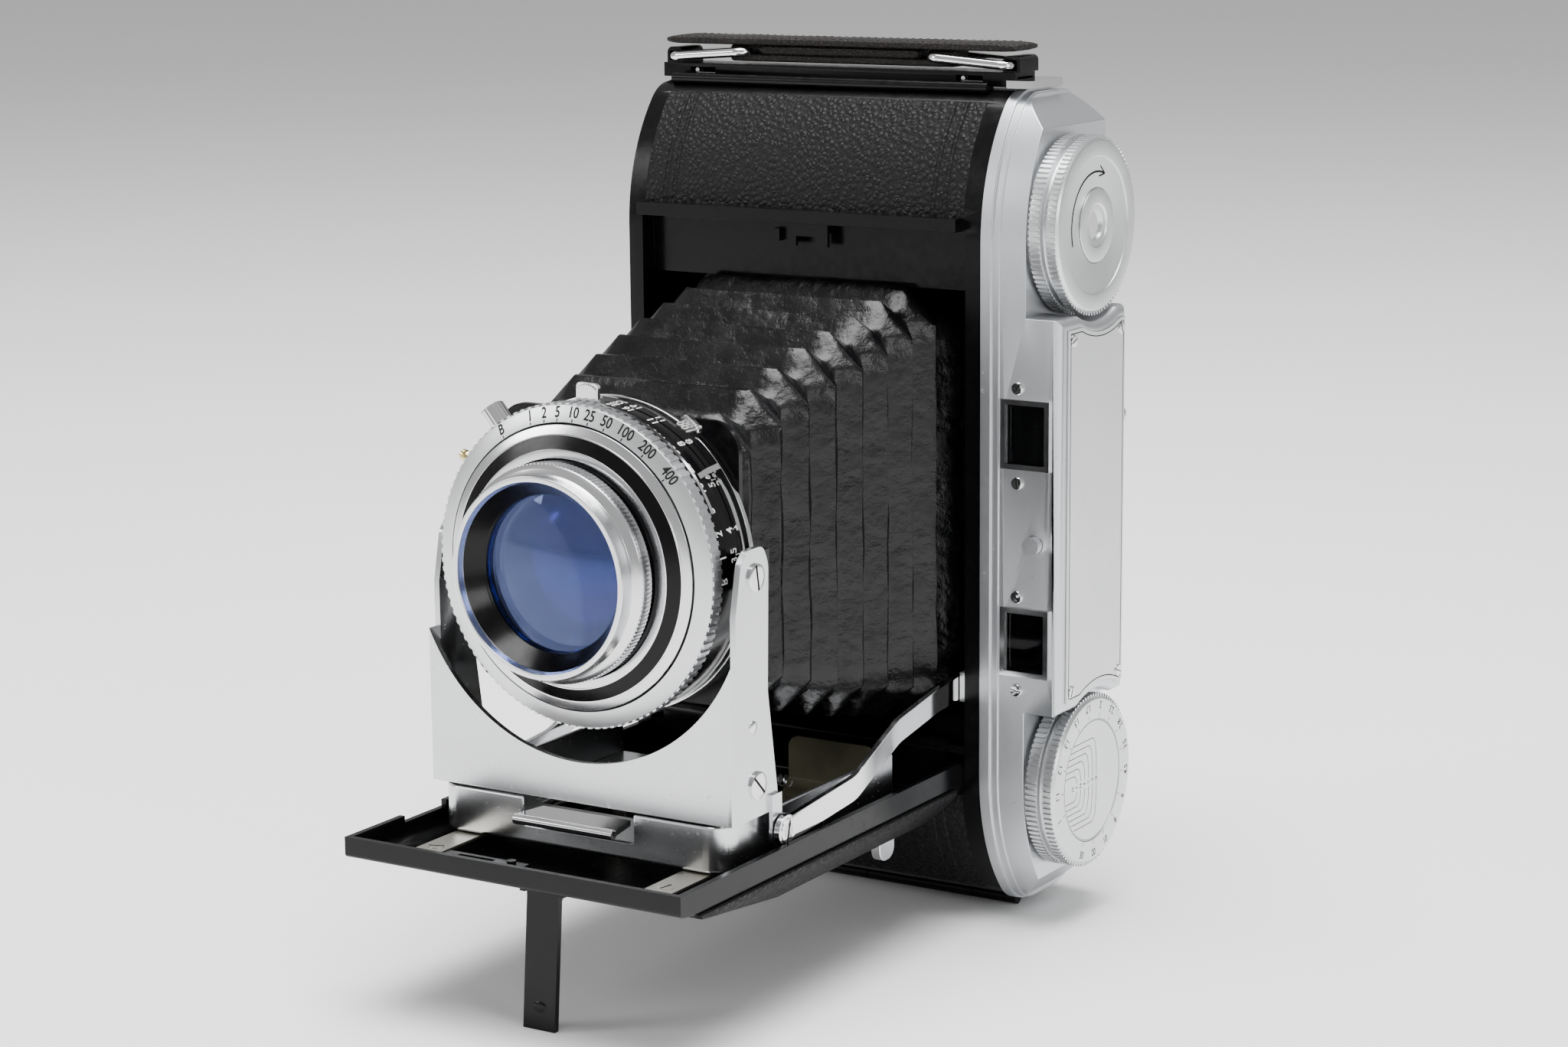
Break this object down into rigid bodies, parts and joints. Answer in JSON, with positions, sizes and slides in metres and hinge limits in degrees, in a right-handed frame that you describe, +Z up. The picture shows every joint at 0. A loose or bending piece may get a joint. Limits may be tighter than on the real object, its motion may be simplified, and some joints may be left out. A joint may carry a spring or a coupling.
{
  "type": "folding roll-film camera",
  "caption": "Folding roll-film camera with its bed down, bellows and shutter on a folding standard, coupled rangefinder housing, winding knob and wrist strap.",
  "frame": {"origin": "mouth of the tripod socket, in the middle of the base plate", "axes": "+Z up with the camera standing on its lower end and its leg, lens looking along -Y, base plate on the -X side and knobs on the +X side"},
  "size_m": [0.1018, 0.1412, 0.1772],
  "materials": {
    "satin_chrome": "satin plated",
    "bright_chrome": "polished plated",
    "black_paint": "semi-gloss enamel",
    "black_leather": "fine pebble grain",
    "bellows_leather": "matt, pleated",
    "satin_aluminium": "satin",
    "shutter_black": "satin enamel",
    "brushed_plate": "fine brushed",
    "olive_paint": "matt",
    "brass_parts": "turned",
    "lens_glass": "coated",
    "red_glass": "dark red",
    "dial_face": "matt white",
    "strap_leather": "smooth, stitched",
    "spool_metal": "enamel"
  },
  "bodies": {
    "camera_body": {"base_plate": "black_paint", "tripod_bush": "satin_chrome", "body_casting": "black_paint", "front_leather": "black_leather", "top_housing": "satin_chrome", "housing_plate": "brushed_plate", "housing_screws": "bright_chrome", "window_frames": "bright_chrome", "window_glasses": "lens_glass", "rangefinder_block": "black_paint", "focus_dial": "dial_face", "film_gate": "satin_aluminium", "hinge_pins": "bright_chrome", "spool_pivots": "bright_chrome", "strap_rail": "bright_chrome", "bellows": "bellows_leather"},
    "door": {"door_shell": "black_paint", "door_leather": "black_leather", "bed_rails": "satin_aluminium", "bed_screws": "bright_chrome", "latch_block": "bright_chrome", "bed_plate": "olive_paint"},
    "leg": {"leg": "black_paint"},
    "release_lever": {"release_lever": "bright_chrome"},
    "carriage": {"focus_carriage": "satin_chrome"},
    "carriage_latch": {"carriage_latch": "bright_chrome"},
    "standard": {"lens_standard": "satin_chrome", "standard_screws": "bright_chrome"},
    "shutter": {"lens_panel": "black_paint", "shutter_case": "shutter_black", "front_cap": "shutter_black", "lens_barrel": "satin_aluminium", "front_element": "lens_glass", "rear_element": "lens_glass", "iris_blades": "shutter_black", "cable_socket": "bright_chrome"},
    "speed_ring": {"speed_ring": "satin_chrome"},
    "aperture_lever": {"aperture_lever": "bright_chrome"},
    "cocking_lever": {"cocking_lever": "bright_chrome"},
    "release_arm": {"release_arm": "shutter_black"},
    "strut_slide": {"strut_slide": "brushed_plate"},
    "left_strut": {"left_strut": "satin_chrome"},
    "right_strut": {"right_strut": "satin_chrome"},
    "winder": {"wind_knob": "satin_chrome", "wind_shaft": "brushed_plate", "take_up_spool": "spool_metal"},
    "focus_knob": {"focus_knob": "satin_chrome"},
    "upper_roller": {"upper_roller": "bright_chrome"},
    "lower_roller": {"lower_roller": "bright_chrome"},
    "rear_cover": {"rear_cover": "black_paint", "rear_leather": "black_leather", "red_windows": "red_glass"},
    "pressure_plate": {"pressure_plate": "black_paint"},
    "window_shutter": {"window_shutter": "black_paint"},
    "back_latch": {"latch_slide": "bright_chrome"},
    "strap": {"carrying_strap": "strap_leather"},
    "left_link": {"left_link": "bright_chrome"},
    "right_link": {"right_link": "bright_chrome"},
    "door_button": {"door_button": "bright_chrome"},
    "door_catch": {"door_catch": "satin_chrome"}
  },
  "joints": [
    {"name": "door_hinge", "type": "hinge", "parent": "camera_body", "child": "door", "pos_m": [0.0416, -0.016, -0.0497], "axis": [-1, 0, 0], "range_deg": [0, 90], "deforming": ["bellows"]},
    {"name": "leg_fold", "type": "hinge", "parent": "door", "child": "leg", "pos_m": [0.0416, -0.1098, -0.0586], "axis": [1, 0, 0], "range_deg": [0, 76]},
    {"name": "release_press", "type": "hinge", "parent": "door", "child": "release_lever", "pos_m": [0.0701, -0.037, -0.058], "axis": [0, 1, 0], "range_deg": [0, 12], "stiffness_Nm_per_rad": 0.02},
    {"name": "carriage_slide", "type": "slide", "parent": "door", "child": "carriage", "axis": [0, 1, 0], "range_m": [-0.0123, 0]},
    {"name": "carriage_latch_press", "type": "hinge", "parent": "carriage", "child": "carriage_latch", "pos_m": [0.0416, -0.0965, -0.04825], "axis": [1, 0, 0], "range_deg": [0, 10], "stiffness_Nm_per_rad": 0.05},
    {"name": "standard_fold", "type": "hinge", "parent": "carriage", "child": "standard", "pos_m": [0.0416, -0.0897, -0.0391], "axis": [-1, 0, 0], "range_deg": [0, 90]},
    {"name": "panel_tilt", "type": "hinge", "parent": "standard", "child": "shutter", "pos_m": [0.0416, -0.0897, 0], "axis": [-1, 0, 0], "range_deg": [-180, 0]},
    {"name": "strut_slide", "type": "slide", "parent": "camera_body", "child": "strut_slide", "axis": [0, 1, 0], "range_m": [-0.0123, 0]},
    {"name": "left_strut_swing", "type": "hinge", "parent": "strut_slide", "child": "left_strut", "pos_m": [0.006, -0.0135, -0.0361], "axis": [-1, 0, 0], "range_deg": [0, 101.61]},
    {"name": "right_strut_swing", "type": "hinge", "parent": "strut_slide", "child": "right_strut", "pos_m": [0.0772, -0.0135, -0.0361], "axis": [-1, 0, 0], "range_deg": [0, 101.61]},
    {"name": "focus_turn", "type": "hinge", "parent": "camera_body", "child": "focus_knob", "pos_m": [0.09, 0, -0.0565], "axis": [1, 0, 0], "range_deg": [-300, 0]},
    {"name": "wind_turn", "type": "hinge", "parent": "camera_body", "child": "winder", "pos_m": [0.09, 0, 0.0565], "axis": [1, 0, 0], "continuous": true},
    {"name": "upper_roller_turn", "type": "hinge", "parent": "camera_body", "child": "upper_roller", "pos_m": [0.0416, 0.0076, 0.0466], "axis": [1, 0, 0], "continuous": true},
    {"name": "lower_roller_turn", "type": "hinge", "parent": "camera_body", "child": "lower_roller", "pos_m": [0.0416, 0.0076, -0.0466], "axis": [1, 0, 0], "continuous": true},
    {"name": "speed_turn", "type": "hinge", "parent": "shutter", "child": "speed_ring", "pos_m": [0.0416, -0.0895, 0], "axis": [0, 1, 0], "range_deg": [-40, 35]},
    {"name": "aperture_turn", "type": "hinge", "parent": "shutter", "child": "aperture_lever", "pos_m": [0.0416, -0.0895, 0], "axis": [0, 1, 0], "range_deg": [-20, 20]},
    {"name": "cocking_turn", "type": "hinge", "parent": "shutter", "child": "cocking_lever", "pos_m": [0.0416, -0.0895, 0], "axis": [0, 1, 0], "range_deg": [0, 25], "stiffness_Nm_per_rad": 0.004},
    {"name": "release_turn", "type": "hinge", "parent": "shutter", "child": "release_arm", "pos_m": [0.0416, -0.0895, 0], "axis": [0, 1, 0], "range_deg": [-8, 0], "stiffness_Nm_per_rad": 0.02},
    {"name": "cover_hinge", "type": "hinge", "parent": "camera_body", "child": "rear_cover", "pos_m": [0.0416, 0, -0.084], "axis": [-1, 0, 0], "range_deg": [0, 100]},
    {"name": "pressure_plate_travel", "type": "slide", "parent": "rear_cover", "child": "pressure_plate", "axis": [0, 1, 0], "range_m": [0, 0.001], "stiffness_N_per_m": 400},
    {"name": "window_shutter_slide", "type": "slide", "parent": "rear_cover", "child": "window_shutter", "axis": [0, 0, 1], "range_m": [0, 0.01]},
    {"name": "back_latch_slide", "type": "slide", "parent": "camera_body", "child": "back_latch", "axis": [1, 0, 0], "range_m": [0, 0.003]},
    {"name": "strap_lift", "type": "slide", "parent": "camera_body", "child": "strap", "axis": [0, 0, 1], "range_m": [0, 0.006]},
    {"name": "left_link_swing", "type": "hinge", "parent": "camera_body", "child": "left_link", "pos_m": [0.0019, 0.00225, 0.08735], "axis": [0, -1, 0], "range_deg": [0, 22]},
    {"name": "right_link_swing", "type": "hinge", "parent": "camera_body", "child": "right_link", "pos_m": [0.0813, 0.00225, 0.08735], "axis": [0, 1, 0], "range_deg": [0, 22]},
    {"name": "button_press", "type": "slide", "parent": "camera_body", "child": "door_button", "axis": [0, 1, 0], "range_m": [0, 0.0015], "stiffness_N_per_m": 600},
    {"name": "door_catch_slide", "type": "slide", "parent": "camera_body", "child": "door_catch", "axis": [1, 0, 0], "range_m": [0, 0.0015]}
  ],
  "couplings": [
    {"joint": "standard_fold", "follows": "door_hinge", "ratio": 1},
    {"joint": "panel_tilt", "follows": "door_hinge", "ratio": -2},
    {"joint": "left_strut_swing", "follows": "door_hinge", "ratio": 1.1289},
    {"joint": "right_strut_swing", "follows": "door_hinge", "ratio": 1.1289},
    {"joint": "carriage_slide", "follows": "focus_turn", "m_per_rad": 0.0023489},
    {"joint": "strut_slide", "follows": "focus_turn", "m_per_rad": 0.0023489},
    {"joint": "left_link_swing", "follows": "strap_lift", "rad_per_m": 58},
    {"joint": "right_link_swing", "follows": "strap_lift", "rad_per_m": 58},
    {"joint": "door_catch_slide", "follows": "button_press", "ratio": 1}
  ]
}
